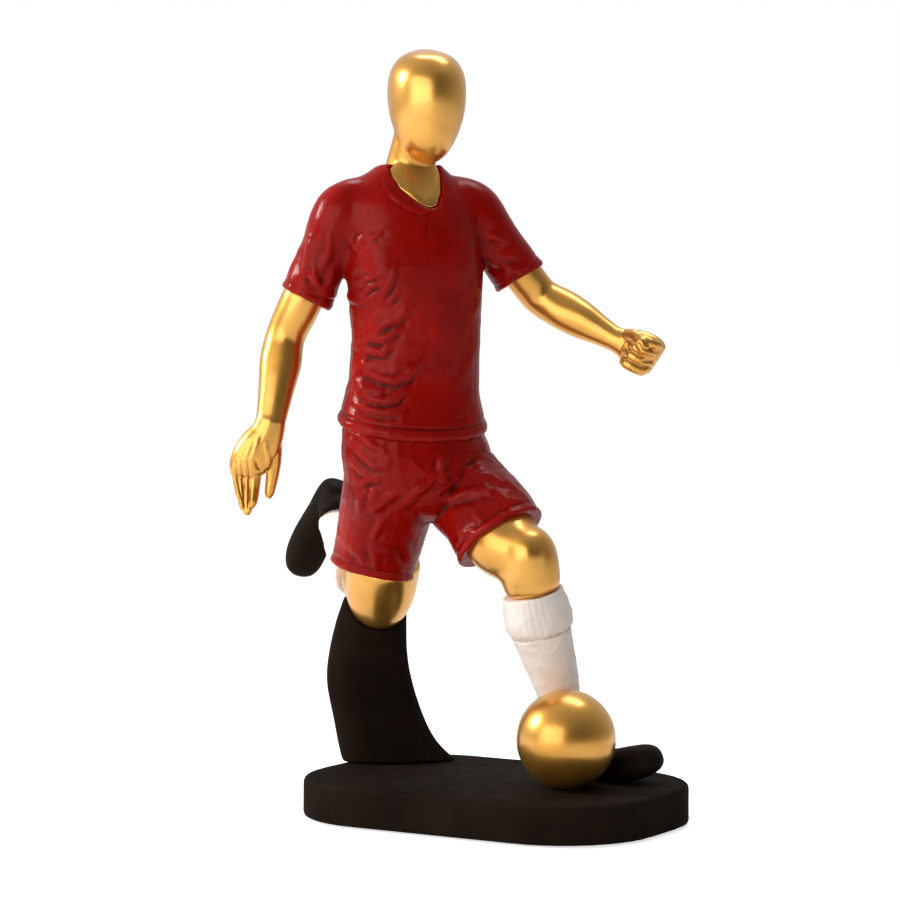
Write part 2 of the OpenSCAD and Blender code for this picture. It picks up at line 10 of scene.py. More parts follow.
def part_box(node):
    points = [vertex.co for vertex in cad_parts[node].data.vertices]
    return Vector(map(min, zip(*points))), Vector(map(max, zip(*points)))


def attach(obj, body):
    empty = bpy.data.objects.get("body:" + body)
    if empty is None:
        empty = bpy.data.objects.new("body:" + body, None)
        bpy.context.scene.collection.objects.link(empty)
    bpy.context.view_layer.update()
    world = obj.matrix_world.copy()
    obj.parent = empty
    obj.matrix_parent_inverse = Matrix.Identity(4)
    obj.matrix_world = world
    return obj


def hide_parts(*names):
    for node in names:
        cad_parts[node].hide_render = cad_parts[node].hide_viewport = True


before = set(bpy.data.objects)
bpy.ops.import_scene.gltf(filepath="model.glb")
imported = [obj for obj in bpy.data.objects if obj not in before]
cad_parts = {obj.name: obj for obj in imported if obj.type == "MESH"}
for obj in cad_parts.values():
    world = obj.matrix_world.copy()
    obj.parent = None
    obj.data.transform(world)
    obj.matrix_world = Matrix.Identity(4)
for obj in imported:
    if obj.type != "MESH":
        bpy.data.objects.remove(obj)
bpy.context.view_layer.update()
scene = bpy.context.scene
scene.view_settings.view_transform = "Standard"


MM = 0.001

# ---------- camera ----------
CAMERA_AT = Vector((0.6193, -1.0727, 0.2069))
CAMERA_AIM = Vector((-0.0152, -0.0088, 0.1450))
CAMERA_LENS = 127
FARTHEST_SEEN = 20
camera = bpy.data.objects.new("camera", bpy.data.cameras.new("camera"))
camera.data.lens = CAMERA_LENS
camera.data.clip_end = FARTHEST_SEEN
camera.location = CAMERA_AT
camera.rotation_euler = (CAMERA_AIM - CAMERA_AT).to_track_quat("-Z", "Y").to_euler()
scene.collection.objects.link(camera)
scene.camera = camera


# ---------- the figure's joints and hems, in millimetres as in the CAD source ----------
RIGHT_SHOULDER, RIGHT_CUFF = (-55.9, -23.0, 238.6), (-72.0, -24.3, 204.3)
LEFT_SHOULDER, LEFT_CUFF = (-19.4, 15.4, 239.8), (-7.8, 33.6, 212.3)
RIGHT_ELBOW, RIGHT_WRIST = (-81.5, -25.1, 188.7), (-79.4, -38.9, 154.8)
LEFT_ELBOW, LEFT_WRIST = (-3.3, 42.0, 204.9), (28.9, 45.5, 187.8)
RIGHT_KNEE, RIGHT_ANKLE = (-60.2, 11.4, 83.8), (-111.6, 54.8, 111.4)
LEFT_KNEE, LEFT_ANKLE = (14.8, -0.7, 104.8), (23.6, 18.2, 30.0)
SLEEVES = ((RIGHT_SHOULDER, RIGHT_CUFF), (LEFT_SHOULDER, LEFT_CUFF))
# A point on each hem and the direction across it: up for the jersey, down the leg for the shorts
JERSEY_HEM, JERSEY_UP = (-37, -1, 153.9), (0.21, -0.14, 1.0)
SHORTS_HEMS = (((-57.9, 2.4, 95.6), (-0.23, -0.02, -0.97)),
               ((-0.6, 4.4, 109.2), (0.64, -0.07, -0.76)))

# The figure is sculpted in its own front view: ACROSS runs to its left hand, OUT to the viewer
ACROSS = np.array([0.866, 0.5, 0.0])
OUT = np.array([0.5, -0.866, 0.0])


# ---------- mesh tools ----------


def read_points(mesh):
    co = np.empty(len(mesh.vertices) * 3)
    mesh.vertices.foreach_get("co", co)
    return co.reshape(-1, 3)


def write_points(mesh, points):
    mesh.vertices.foreach_set("co", points.ravel())
    mesh.update()


def read_normals(mesh):
    mesh.update()
    out = np.empty(len(mesh.vertices) * 3)
    mesh.vertices.foreach_get("normal", out)
    return out.reshape(-1, 3)


def read_edges(mesh):
    pairs = np.empty(len(mesh.edges) * 2, np.int64)
    mesh.edges.foreach_get("vertices", pairs)
    return pairs.reshape(-1, 2)


def neighbour_mean(values, edges):
    """The mean of each vertex's neighbours; values is one column or three."""
    count = len(values)
    degree = np.bincount(edges.ravel(), minlength=count)[:, None]
    columns = values.reshape(count, -1)
    total = np.stack([
        np.bincount(edges[:, 0], columns[edges[:, 1], k], count)
        + np.bincount(edges[:, 1], columns[edges[:, 0], k], count)
        for k in range(columns.shape[1])], axis=1)
    return total / np.maximum(degree, 1)


def soften(points, edges, rounds, keep=0.0, where=None):
    """Moves each point halfway to the mean of its neighbours, round after round.
    keep=1 then steps back a little farther, so that fingers and hems don't shrink."""
    weight = 0.5 if where is None else 0.5 * where[:, None]
    step_back = 0.51 * keep
    for _ in range(rounds):
        points = points + weight * (neighbour_mean(points, edges) - points)
        if keep:
            points = points - step_back * (neighbour_mean(points, edges) - points)
    return points


def lumps(points, size, seed, stretch=(1, 1, 1)):
    """Smooth noise from -1 to 1 with features about "size" millimetres across.
    Each seed reads another region of the noise."""
    scale = np.array(stretch) / (size * MM)
    shift = Vector((seed * 7.3, seed * 3.1, seed * 5.7))
    return np.array([noise.noise(Vector(p) + shift) for p in points * scale])


def creases(points, size, seed, stretch=(1, 1, 1)):
    """Sharp winding ridges, as pressed cloth has, from 0 to 1."""
    return (1 - np.abs(lumps(points, size, seed, stretch)) * 2.2).clip(0, 1) ** 2


def rise(x, low, high):
    """0 below low, 1 above high, with a smooth step between."""
    t = ((x - low) / (high - low)).clip(0, 1)
    return t * t * (3 - 2 * t)


def fall(x, low, high):
    """1 below low, 0 above high."""
    return rise(-x, -high, -low)


def bell(x, middle, width):
    """A bump of height 1."""
    return np.exp(-((x - middle) / width) ** 2)


def front_view(points):
    """(distance towards the figure's left hand, height), in millimetres."""
    return np.stack([points @ ACROSS, points[:, 2]], axis=1) / MM


def fold(view, path, height, width, facing, sharp=0.55):
    """The relief of one fold, in metres, drawn as a path in the front view. Its height and
    width are in millimetres. A groove runs along one flank, and both ends die away."""
    total = sum(math.dist(a, b) for a, b in zip(path, path[1:]))
    nearest = np.full(len(view), 1e9)
    signed = np.zeros(len(view))
    along = np.zeros(len(view))
    run = 0.0
    for a, b in zip(path, path[1:]):
        a, b = np.array(a, float), np.array(b, float)
        length = np.linalg.norm(b - a)
        step = (b - a) / length
        t = ((view - a) @ step).clip(0, length)
        gap = view - a - t[:, None] * step
        away = np.hypot(gap[:, 0], gap[:, 1])
        closer = away < nearest
        side = step[0] * gap[:, 1] - step[1] * gap[:, 0]
        nearest = np.where(closer, away, nearest)
        signed = np.where(closer, np.where(side < 0, -away, away), signed)
        along = np.where(closer, run + t, along)
        run += length
    part = along / total
    taper = np.sin(np.pi * part.clip(0.04, 0.96)) ** 0.6
    ridge = bell(signed, 0, width)
    groove = bell(signed, -1.5 * width, 1.1 * width)
    return MM * height * taper * (ridge - sharp * groove) * facing


def folds(view, facing, height, width, paths, sharp=0.55):
    return sum(fold(view, path, height, width, facing, sharp) for path in paths)


def around(points, start, end):
    """Distance along a bone from 0 to 1, the angle round it in radians from ACROSS
    towards OUT, and the distance from it."""
    start, end = np.array(start) * MM, np.array(end) * MM
    bone = end - start
    length = np.linalg.norm(bone)
    bone = bone / length
    side = ACROSS - ACROSS @ bone * bone
    side /= np.linalg.norm(side)
    front = np.cross(side, bone)
    if front @ OUT < 0:
        front = -front
    rel = points - start
    x, y = rel @ side, rel @ front
    return rel @ bone / length, np.arctan2(y, x), np.hypot(x, y)


CREASE_GAIN = 6
CREASE_ROUNDS = 4


def recast(node, voxel, rounds, sculpt, keep=0.0, settle=2, heal=None, heal_rounds=220):
    """A casting in place of a CAD node. The body is remeshed in even faces of "voxel"
    millimetres, its facets are smoothed away in "rounds", more of them where heal(points)
    is 1, and sculpt(points, normals) shapes it. The crease attribute, above 0 in hollows
    and below 0 on ridges, is left for the paints."""
    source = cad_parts[node]
    rough = bpy.data.objects.new("rough", source.data.copy())
    scene.collection.objects.link(rough)
    remesh = rough.modifiers.new("remesh", "REMESH")
    remesh.mode = "VOXEL"
    remesh.voxel_size = voxel * MM
    remesh.adaptivity = 0
    bpy.context.view_layer.update()
    ready = rough.evaluated_get(bpy.context.evaluated_depsgraph_get())
    mesh = bpy.data.meshes.new_from_object(ready)
    bpy.data.objects.remove(rough)
    mesh.name = node + "_casting"
    mesh.materials.clear()
    edges = read_edges(mesh)
    points = soften(read_points(mesh), edges, rounds, keep)
    if heal:
        points = soften(points, edges, heal_rounds, where=heal(points))
    write_points(mesh, points)
    points = sculpt(points, read_normals(mesh))
    points = soften(points, edges, settle, 1.0)
    write_points(mesh, points)
    hollow = neighbour_mean(points, edges) - points
    depth = (hollow * read_normals(mesh)).sum(1) / (voxel * MM)
    depth = soften(depth[:, None], edges, CREASE_ROUNDS)[:, 0]
    crease = mesh.attributes.new("crease", "FLOAT", "POINT")
    crease.data.foreach_set("value", (depth * CREASE_GAIN).clip(-1, 1).astype(np.float32))
    mesh.shade_smooth()
    piece = bpy.data.objects.new(node + "_casting", mesh)
    scene.collection.objects.link(piece)
    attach(piece, "root")
    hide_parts(node)
    return piece


# ---------- paints ----------
class Paint:
    """A Principled material whose nodes are added by short calls."""
    # Sockets of the colour mix node
    FIRST_COLOUR, SECOND_COLOUR, MIXED_COLOUR = 6, 7, 2

    def __init__(self, name, **fixed):
        self.material = bpy.data.materials.new(name)
        self.material.use_nodes = True
        self.tree = self.material.node_tree
        self.shader = self.tree.nodes["Principled BSDF"]
        self.coords = self.node("ShaderNodeTexCoord").outputs["Object"]
        for key, value in fixed.items():
            self.shader.inputs[key.replace("_", " ")].default_value = value

    def node(self, kind, links=None, **settings):
        made = self.tree.nodes.new(kind)
        for key, value in settings.items():
            setattr(made, key, value)
        for key, value in (links or {}).items():
            if isinstance(value, bpy.types.NodeSocket):
                self.tree.links.new(value, made.inputs[key])
            else:
                made.inputs[key].default_value = value
        return made

    def stretched(self, x=1.0, y=1.0, z=1.0):
        return self.node("ShaderNodeMapping", {
            "Vector": self.coords, "Scale": (x, y, z)}).outputs[0]

    def grain(self, per_metre, detail=2.0, rough=0.5, vector=None):
        return self.node("ShaderNodeTexNoise", {
            "Vector": vector or self.coords, "Scale": per_metre,
            "Detail": detail, "Roughness": rough}).outputs["Fac"]

    def cells(self, per_metre):
        return self.node("ShaderNodeTexVoronoi", {
            "Vector": self.coords, "Scale": per_metre}).outputs["Distance"]

    def between(self, value, low, high, to_low=0.0, to_high=1.0):
        return self.node("ShaderNodeMapRange", {
            "Value": value, "From Min": low, "From Max": high,
            "To Min": to_low, "To Max": to_high}).outputs["Result"]

    def blend(self, factor, a, b):
        made = self.node("ShaderNodeMix", {"Factor": factor}, data_type="RGBA")
        for socket, value in ((self.FIRST_COLOUR, a), (self.SECOND_COLOUR, b)):
            if isinstance(value, bpy.types.NodeSocket):
                self.tree.links.new(value, made.inputs[socket])
            else:
                made.inputs[socket].default_value = (*value, 1)
        return made.outputs[self.MIXED_COLOUR]

    def math(self, operation, a, b):
        return self.node("ShaderNodeMath", {0: a, 1: b}, operation=operation).outputs[0]

    def crease(self):
        return self.node("ShaderNodeAttribute", attribute_name="crease").outputs["Fac"]

    def bump(self, height, depth_mm, below=None):
        links = {"Height": height, "Distance": depth_mm * MM, "Strength": 1.0}
        if below:
            links["Normal"] = below
        return self.node("ShaderNodeBump", links).outputs["Normal"]

    def wire(self, **sockets):
        for key, value in sockets.items():
            self.tree.links.new(value, self.shader.inputs[key.replace("_", " ")])
        return self.material


def gold_paint():
    """Satin gold lacquer, darkened to brown in its hollows as painted shade, with a few specks
    under it.
    """
    p = Paint("gold_lacquer", Metallic=0.88,
              Coat_Weight=0.50, Coat_Roughness=0.14, Coat_IOR=1.6)
    # Brown in the hollows: painted shade.
    painted_shade = p.between(p.crease(), 0.05, 0.7)
    thin = p.between(p.grain(45, 3), 0.40, 0.66)
    base = p.blend(thin, (0.86, 0.445, 0.085), (0.79, 0.375, 0.055))
    base = p.blend(painted_shade, base, (0.38, 0.13, 0.012))
    specks = p.between(p.cells(520), 0.10, 0.22, 1.0, 0.0)
    rare = p.between(p.grain(160, 1), 0.60, 0.66)
    specks = p.math("MULTIPLY", specks, rare)
    rough = p.between(p.grain(90, 4, 0.6), 0.3, 0.7, 0.27, 0.35)
    ripple = p.bump(p.grain(260, 2), 0.022)
    normal = p.bump(specks, 0.03, below=ripple)
    return p.wire(Base_Color=base, Roughness=rough, Normal=normal)


def red_paint():
    """Brushed red enamel, with painted shade in the creases and a painted highlight on the ridges.
    """
    p = Paint("kit_red", Specular_IOR_Level=0.13)
    tone = p.between(p.grain(70, 4, 0.6), 0.35, 0.68)
    base = p.blend(tone, (0.250, 0.0026, 0.0010), (0.335, 0.0040, 0.0016))
    # Darker in the creases: painted shade.
    base = p.blend(p.between(p.crease(), 0.03, 0.42), base, (0.085, 0.0010, 0.0005))
    # Paler pink on the ridges: a painted highlight.
    base = p.blend(p.between(p.crease(), -0.10, -0.8, 0.0, 0.35), base, (0.40, 0.022, 0.016))
    strokes = p.grain(420, 3, 0.6, p.stretched(1.0, 1.0, 0.22))
    rough = p.between(strokes, 0.3, 0.7, 0.20, 0.33)
    soft = p.bump(p.grain(150, 3), 0.10)
    normal = p.bump(strokes, 0.045, below=soft)
    return p.wire(Base_Color=base, Roughness=rough, Normal=normal)


def black_paint(name, light, rough_low, rough_high):
    """Matt brown-black paint over a sandy casting, paler on its edges and ridges."""
    p = Paint(name, Specular_IOR_Level=0.04)
    tone = p.between(p.grain(38, 5, 0.6), 0.35, 0.7)
    dark = (0.0082 * light, 0.0050 * light, 0.0034 * light)
    pale = (0.0155 * light, 0.0098 * light, 0.0068 * light)
    base = p.blend(tone, dark, pale)
    paler_edges = p.between(p.crease(), -0.30, -0.95, 0.0, 0.6)
    base = p.blend(paler_edges, base, (0.034, 0.026, 0.021))
    sand = p.grain(900, 3, 0.7)
    rough = p.between(p.grain(200, 4), 0.3, 0.7, rough_low, rough_high)
    wave = p.bump(p.grain(110, 3), 0.12)
    normal = p.bump(sand, 0.06, below=wave)
    return p.wire(Base_Color=base, Roughness=rough, Normal=normal)


def sock_paint():
    """Off-white paint with brush strokes down the leg, and painted shade in its creases."""
    p = Paint("sock_white")
    tone = p.between(p.grain(120, 4, 0.65), 0.35, 0.7)
    base = p.blend(tone, (0.90, 0.800, 0.735), (0.97, 0.885, 0.825))
    # Darker in the creases: painted shade.
    base = p.blend(p.between(p.crease(), 0.05, 0.6), base, (0.47, 0.37, 0.31))
    strokes = p.grain(600, 3, 0.6, p.stretched(1.0, 1.0, 0.15))
    rough = p.between(strokes, 0.3, 0.7, 0.50, 0.68)
    knit = p.bump(p.grain(350, 3), 0.05)
    normal = p.bump(strokes, 0.06, below=knit)
    return p.wire(Base_Color=base, Roughness=rough, Normal=normal)


def steel():
    p = Paint("pin_steel", Metallic=1.0)
    base = p.blend(p.grain(300, 3), (0.52, 0.52, 0.53), (0.66, 0.66, 0.67))
    turned = p.grain(1500, 2, 0.5, p.stretched(0.3, 0.3, 3.0))
    return p.wire(Base_Color=base, Roughness=p.between(turned, 0.3, 0.7, 0.22, 0.38),
                  Normal=p.bump(turned, 0.02))


def foam():
    p = Paint("pad_foam")
    pores = p.cells(700)
    base = p.blend(p.between(pores, 0.0, 0.5), (0.006, 0.006, 0.006), (0.022, 0.022, 0.023))
    return p.wire(Base_Color=base, Roughness=p.between(pores, 0.0, 0.6, 0.95, 0.80),
                  Normal=p.bump(pores, 0.15))


GOLD = gold_paint()
RED = red_paint()
PLINTH_BLACK = black_paint("plinth_black", 1.15, 0.75, 0.90)
BOOT_BLACK = black_paint("boot_black", 1.1, 0.45, 0.62)
SOCK = sock_paint()
STEEL = steel()
FOAM = foam()


def finish_piece(piece, material):
    piece.data.materials.append(material)
    return piece


# ---------- sculpting: heights and widths in millimetres, places in the front view ----------
# How far from its bone a point still belongs to a sleeve, fading out, in metres
SLEEVE_REACH = (0.0165, 0.019)
# The same for the hems of the shorts, in millimetres from the middle of the hem
HEM_REACH = (22, 25)
COLLAR_RIM = [(-44, 254), (-43, 248), (-39.5, 243.5), (-34, 239.5), (-29, 237.4),
              (-25, 238.4), (-21.5, 243), (-20.6, 249), (-21, 254)]
COLLAR_SLIT = [(-26, 237), (-26.2, 232), (-26.3, 226)]
ARMPIT_CREASES = [[(-57, 228), (-55, 223)], [(-55, 224), (-50, 229)], [(-49, 227), (-45, 229)],
                  [(-59, 207), (-57, 204), (-53, 202), (-50, 203)]]
CHEST_BULGE = [[(-49, 224), (-45, 219), (-43, 213), (-44, 206)]]
CHEST_TUCKS = [[(-52, 211), (-45, 213)], [(-51, 209), (-44, 210)], [(-52, 206), (-47, 209)],
               [(-44, 203), (-40, 211), (-38, 217)], [(-42, 202), (-38, 206)]]
WAIST_SMILES = [[(-47, 191), (-43, 194), (-38, 196), (-33, 201)],
                [(-50, 189), (-44, 188), (-41, 190), (-37, 193)],
                [(-52, 184), (-44, 183), (-40, 188)],
                [(-52, 181), (-50, 176), (-45, 173), (-39, 172), (-34, 174), (-29, 179)],
                [(-54, 171), (-50, 168), (-45, 168)],
                [(-55, 168), (-49, 165), (-43, 164), (-39, 165), (-35, 170)],
                [(-55, 164), (-49, 161), (-43, 160), (-36, 161)]]
LEFT_FLANK = [[(-6, 194), (-8, 184), (-11, 176), (-14, 170)], [(-20, 204), (-23, 188), (-27, 176)],
              [(-16, 162), (-8, 165)], [(-22, 159), (-12, 160), (-4, 163)],
              [(-7, 211), (-10, 203)], [(-5, 206), (-9, 197)]]
RIGHT_SLEEVE = [[(-72, 228), (-75, 213)], [(-64, 230), (-65, 221), (-69, 214)],
                [(-71, 219), (-70, 210)], [(-74, 216), (-67, 206)], [(-63, 216), (-66, 208)]]
LEFT_SLEEVE = [[(-4, 223), (0, 218), (6, 217)], [(0, 220), (9, 221)], [(3, 213), (9, 216)],
               [(-3, 229), (4, 227)], [(8, 213), (13, 217)]]
BACK_FOLDS = [[(-50, 226), (-44, 214), (-36, 206)], [(-14, 226), (-20, 215), (-28, 207)],
              [(-55, 190), (-44, 184), (-30, 182), (-14, 188)],
              [(-54, 179), (-42, 172), (-28, 171), (-12, 178)],
              [(-55, 169), (-40, 163), (-24, 163), (-10, 169)],
              [(-40, 198), (-33, 192), (-26, 197)]]


def facing_sides(normals):
    """How far each point looks to the front and to the back of the figure, from 0 to 1."""
    towards = normals @ OUT
    return rise(towards, -0.15, 0.25), rise(-towards, -0.15, 0.25)


def sculpt_jersey(points, normals):
    view = front_view(points)
    front, back = facing_sides(normals)
    move = folds(view, front, 0.55, 1.1, ARMPIT_CREASES)
    move += folds(view, front, 1.40, 5.0, CHEST_BULGE, 0.25)
    move += folds(view, front, 0.70, 1.1, CHEST_TUCKS)
    move += folds(view, front, 1.10, 1.6, WAIST_SMILES)
    move += folds(view, front, 0.45, 2.2, LEFT_FLANK, 0.5)
    move += folds(view, front, 1.00, 1.6, RIGHT_SLEEVE + LEFT_SLEEVE)
    move += folds(view, back, 0.70, 2.0, BACK_FOLDS)
    # Fine crumples, strongest on the flank over the kicking leg and calm on the chest
    calm = 0.20 + 0.80 * rise(-view[:, 0], 28, 50)
    calm *= 1 - 0.6 * rise(view[:, 1], 222, 240)
    move += calm * MM * 0.40 * (creases(points, 15, 3, (1, 1, 1.6)) - 0.25)
    move += calm * MM * 0.12 * (creases(points, 7, 5, (1, 1, 1.3)) - 0.25)
    move += MM * 0.06 * lumps(points, 5, 8)
    # The hem is a turned band: a line above it and a slightly flared lip
    level = hem_height(points)
    waist = rise(level, -1, 0) * fall(level, 7, 12)
    move += waist * MM * (0.45 * bell(level, 2.2, 1.5) - 0.40 * bell(level, 4.6, 0.7))
    # Cuff bands of both sleeves and the rim of the collar
    for shoulder, cuff in SLEEVES:
        t, _, reach = around(points, shoulder, cuff)
        near = fall(reach, *SLEEVE_REACH)
        move += near * MM * (0.30 * bell(t, 0.97, 0.03) - 0.32 * bell(t, 0.885, 0.014))
    move += fold(view, COLLAR_RIM, 0.35, 0.8, front, 0.6)
    move -= fold(view, COLLAR_SLIT, 0.35, 0.7, front, 0)
    return points + normals * move[:, None]


def shoulder_blend(points):
    """Where the sleeves flow into the body without a seam: not at cuffs, collar or hem."""
    view = front_view(points)
    body = rise(view[:, 1], 196, 206)
    collar_middle = (-32, 250)
    collar = rise(np.hypot(*(view - collar_middle).T), 13, 19)
    cuffs = 1.0
    for shoulder, cuff in SLEEVES:
        t, _, reach = around(points, shoulder, cuff)
        cuffs = cuffs * (1 - rise(t, 0.60, 0.75) * fall(reach, *SLEEVE_REACH))
    return body * collar * cuffs


def hem_height(points):
    """Height above the slanted hem of the jersey, in millimetres."""
    up = np.array(JERSEY_UP) / np.linalg.norm(JERSEY_UP)
    return (points - np.array(JERSEY_HEM) * MM) @ up / MM


HIP_STREAKS = [[(-54, 152), (-49, 148), (-44, 145)],
               [(-56, 148), (-51, 142), (-47, 139), (-42, 139)],
               [(-57, 142), (-52, 137), (-46, 134)], [(-54, 132), (-46, 134)]]
RIGHT_THIGH = [[(-52, 130), (-53, 120)], [(-47, 131), (-48, 124)],
               [(-55, 119), (-47, 122), (-43, 125), (-36, 130)],
               [(-47, 121), (-44, 118), (-46, 114), (-49, 109)],
               [(-58, 107), (-54, 104), (-51, 100)], [(-48, 107), (-47, 98)],
               [(-38, 122), (-25, 133), (-19, 142)], [(-36, 108), (-33, 100)]]
CROTCH = [[(-21, 143), (-21, 134)], [(-22, 132), (-17, 137)], [(-23, 128), (-15, 134)],
          [(-22, 124), (-16, 126), (-9, 129)]]
LEFT_THIGH = [[(-21, 126), (-10, 129), (0, 130), (4, 127), (7, 122)],
              [(-14, 124), (-9, 122), (-5, 117)], [(-13, 113), (-6, 114), (0, 117)],
              [(-14, 146), (-1, 146)], [(-13, 142), (-2, 143)], [(-4, 136), (6, 131)],
              [(-17, 118), (-12, 110)]]
SEAT_FOLDS = [[(-52, 140), (-40, 132), (-28, 130)], [(-16, 143), (-24, 134), (-28, 130)],
              [(-54, 122), (-44, 117), (-36, 119)], [(-10, 134), (0, 127), (6, 124)],
              [(-50, 108), (-43, 104), (-37, 107)], [(-8, 124), (-2, 117)]]


def sculpt_shorts(points, normals):
    view = front_view(points)
    front, back = facing_sides(normals)
    move = folds(view, front, 0.70, 1.3, HIP_STREAKS)
    move += folds(view, front, 0.90, 1.8, RIGHT_THIGH)
    move += folds(view, front, 0.85, 1.5, CROTCH)
    move += folds(view, front, 0.80, 1.9, LEFT_THIGH)
    move += folds(view, back, 0.75, 2.2, SEAT_FOLDS)
    move += MM * 0.35 * (creases(points, 14, 13, (1, 1, 1.2)) - 0.25)
    move += MM * 0.12 * (creases(points, 7, 17) - 0.25)
    move += MM * 0.06 * lumps(points, 5, 21)
    # The turned hem of each leg
    for hem, down in SHORTS_HEMS:
        rel = (points - np.array(hem) * MM) / MM
        up = -(rel @ np.array(down))
        near = fall(np.linalg.norm(rel, axis=1), *HEM_REACH)
        move += near * MM * 0.30 * (bell(up, 1.2, 1.0) - bell(up, 3.6, 0.6))
    return points + normals * move[:, None]


def sculpt_plinth(points, normals):
    above_pad = rise(points[:, 2] / MM, 1.2, 3.5)
    move = MM * above_pad * (0.22 * lumps(points, 30, 2) + 0.07 * lumps(points, 9, 4))
    return points + normals * move[:, None]


def sculpt_pillar(points, normals):
    move = MM * (0.30 * lumps(points, 22, 6) + 0.08 * lumps(points, 7, 9))
    # Faint rasp marks that run up the blade
    move += MM * 0.07 * lumps(points, 5, 12, (1, 1, 0.12))
    return points + normals * move[:, None]


def everywhere(points):
    return np.ones(len(points))


def leg_skin(points, seed):
    """What the hard smoothing took off a leg, with the unevenness of a hand-finished one."""
    return MM * (0.35 + 0.25 * lumps(points, 17, seed) + 0.06 * lumps(points, 7, seed + 1))


def sculpt_left_leg(points, normals):
    view = front_view(points)
    front = rise(normals @ OUT, -0.1, 0.3)
    # Kneecap, the tendon below it and the hollow on either side
    move = fold(view, [(9, 113), (13, 107), (14, 101)], 0.7, 4.0, front, 0.0)
    move += fold(view, [(7, 100), (9, 92)], 0.5, 2.6, front, 0.0)
    move -= fold(view, [(4, 110), (5, 102), (4, 95)], 0.45, 2.2, front, 0.0)
    move -= fold(view, [(19, 108), (18, 99), (17, 92)], 0.45, 2.0, front, 0.0)
    move += leg_skin(points, 32)
    return points + normals * move[:, None]


def sculpt_right_leg(points, normals):
    view = front_view(points)
    front = rise(normals @ OUT, -0.1, 0.3)
    move = fold(view, [(-52, 92), (-48, 85), (-45, 79)], 0.6, 4.0, front, 0.0)
    move -= fold(view, [(-40, 92), (-39, 84), (-41, 78)], 0.4, 2.2, front, 0.0)
    move += leg_skin(points, 34)
    return points + normals * move[:, None]


SOCK_RIBS = 34


def sculpt_sock(knee, ankle, cuff_to):
    """A ribbed sock whose rolled cuff ends at cuff_to, a fraction of the shin."""
    def sculpt(points, normals):
        t, angle, _ = around(points, knee, ankle)
        ribs = np.cos(angle * SOCK_RIBS)
        cuff = fall(t, cuff_to - 0.01, cuff_to + 0.02)
        move = MM * ribs * (0.025 + 0.025 * cuff)
        move += MM * 0.08 * lumps(points, 4, 41)
        move += MM * 0.30 * (creases(points, 11, 43, (1, 1, 1.8)) - 0.25)
        move -= MM * 0.35 * bell(t, cuff_to, 0.008)
        return points + normals * move[:, None]
    return sculpt


def sculpt_head(points, normals):
    """A smooth egg: a soft swell down its middle, no face, and two tendons on the neck."""
    view = front_view(points)
    front = rise(normals @ OUT, -0.1, 0.3)
    move = fold(view, [(-22, 294), (-21, 278), (-23, 260)], 0.9, 5.0, front, 0.0)
    move += fold(view, [(-37, 255), (-32, 246), (-28, 241)], 0.45, 1.8, front, 0.2)
    move += fold(view, [(-22, 254), (-24, 246), (-26, 241)], 0.40, 1.6, front, 0.2)
    move += MM * 0.05 * lumps(points, 12, 51)
    return points + normals * move[:, None]


# Where the forearm's smooth skin fades into the hand, as fractions of the forearm
HAND_BLEND = (0.72, 1.06)


def forearm_only(elbow, wrist):
    """Where an arm may be smoothed hard: everywhere but the hand."""
    def heal(points):
        t, _, _ = around(points, elbow, wrist)
        return fall(t, *HAND_BLEND)
    return heal


def sculpt_arm(elbow, wrist, grooves, ridges):
    def sculpt(points, normals):
        view = front_view(points)
        front = rise(normals @ OUT, -0.2, 0.2)
        t, angle, _ = around(points, elbow, wrist)
        arm = fall(t, *HAND_BLEND)
        # What the hard smoothing took off, and the gentle unevenness of a hand-finished arm
        move = MM * arm * (0.42 + 0.35 * lumps(points, 19, 61) + 0.05 * lumps(points, 6, 63))
        # The long forearm muscle
        move += MM * 0.45 * bell(t, 0.30, 0.20) * np.cos(2 * angle)
        move -= folds(view, front, 0.75, 0.55, grooves, 0.0)
        move += folds(view, front, 0.35, 0.9, ridges, 0.0)
        return points + normals * move[:, None]
    return sculpt


RIGHT_HAND_GAPS = [[(-102, 140), (-101, 133), (-99, 126), (-98, 121)],
                   [(-99.3, 140), (-99, 133), (-98.2, 127), (-97.6, 121)],
                   [(-96.6, 140), (-96.4, 133), (-96.5, 126), (-97, 120)],
                   [(-93.8, 141), (-93, 138), (-91.6, 137)]]
RIGHT_HAND_TENDONS = [[(-102.8, 141), (-99, 147), (-96, 151)],
                      [(-100.6, 141), (-97.4, 147), (-95, 151)],
                      [(-98, 141), (-95.6, 147), (-94, 151)],
                      [(-95.2, 141), (-93.4, 147), (-92.6, 151)],
                      [(-89.5, 147), (-88.6, 141), (-89, 134)]]
LEFT_FIST_GAPS = [[(58.2, 182), (60.5, 181.4), (64, 180.8)],
                  [(58, 179.5), (63.5, 178.7)], [(57.7, 177), (63, 176.2)],
                  [(55.8, 187), (58.2, 184.3), (61, 183.8), (64, 184.3)]]
LEFT_FIST_KNUCKLES = [[(53, 186), (57, 187.5), (61, 187)], [(57, 183), (61, 182.8)]]


def sculpt_boot(points, normals):
    move = MM * (0.10 * lumps(points, 8, 71) + 0.05 * lumps(points, 3, 73))
    return points + normals * move[:, None]


# ---------- castings ----------
def cast_body():
    finish_piece(recast("plinth", 1.0, 4, sculpt_plinth), PLINTH_BLACK)
    finish_piece(recast("support_pillar", 0.6, 26, sculpt_pillar), PLINTH_BLACK)
    finish_piece(recast("jersey", 0.60, 50, sculpt_jersey, keep=1.0, heal=shoulder_blend,
                        heal_rounds=90), RED)
    finish_piece(recast("shorts", 0.55, 50, sculpt_shorts, keep=1.0), RED)
    finish_piece(recast("head", 0.50, 24, sculpt_head), GOLD)


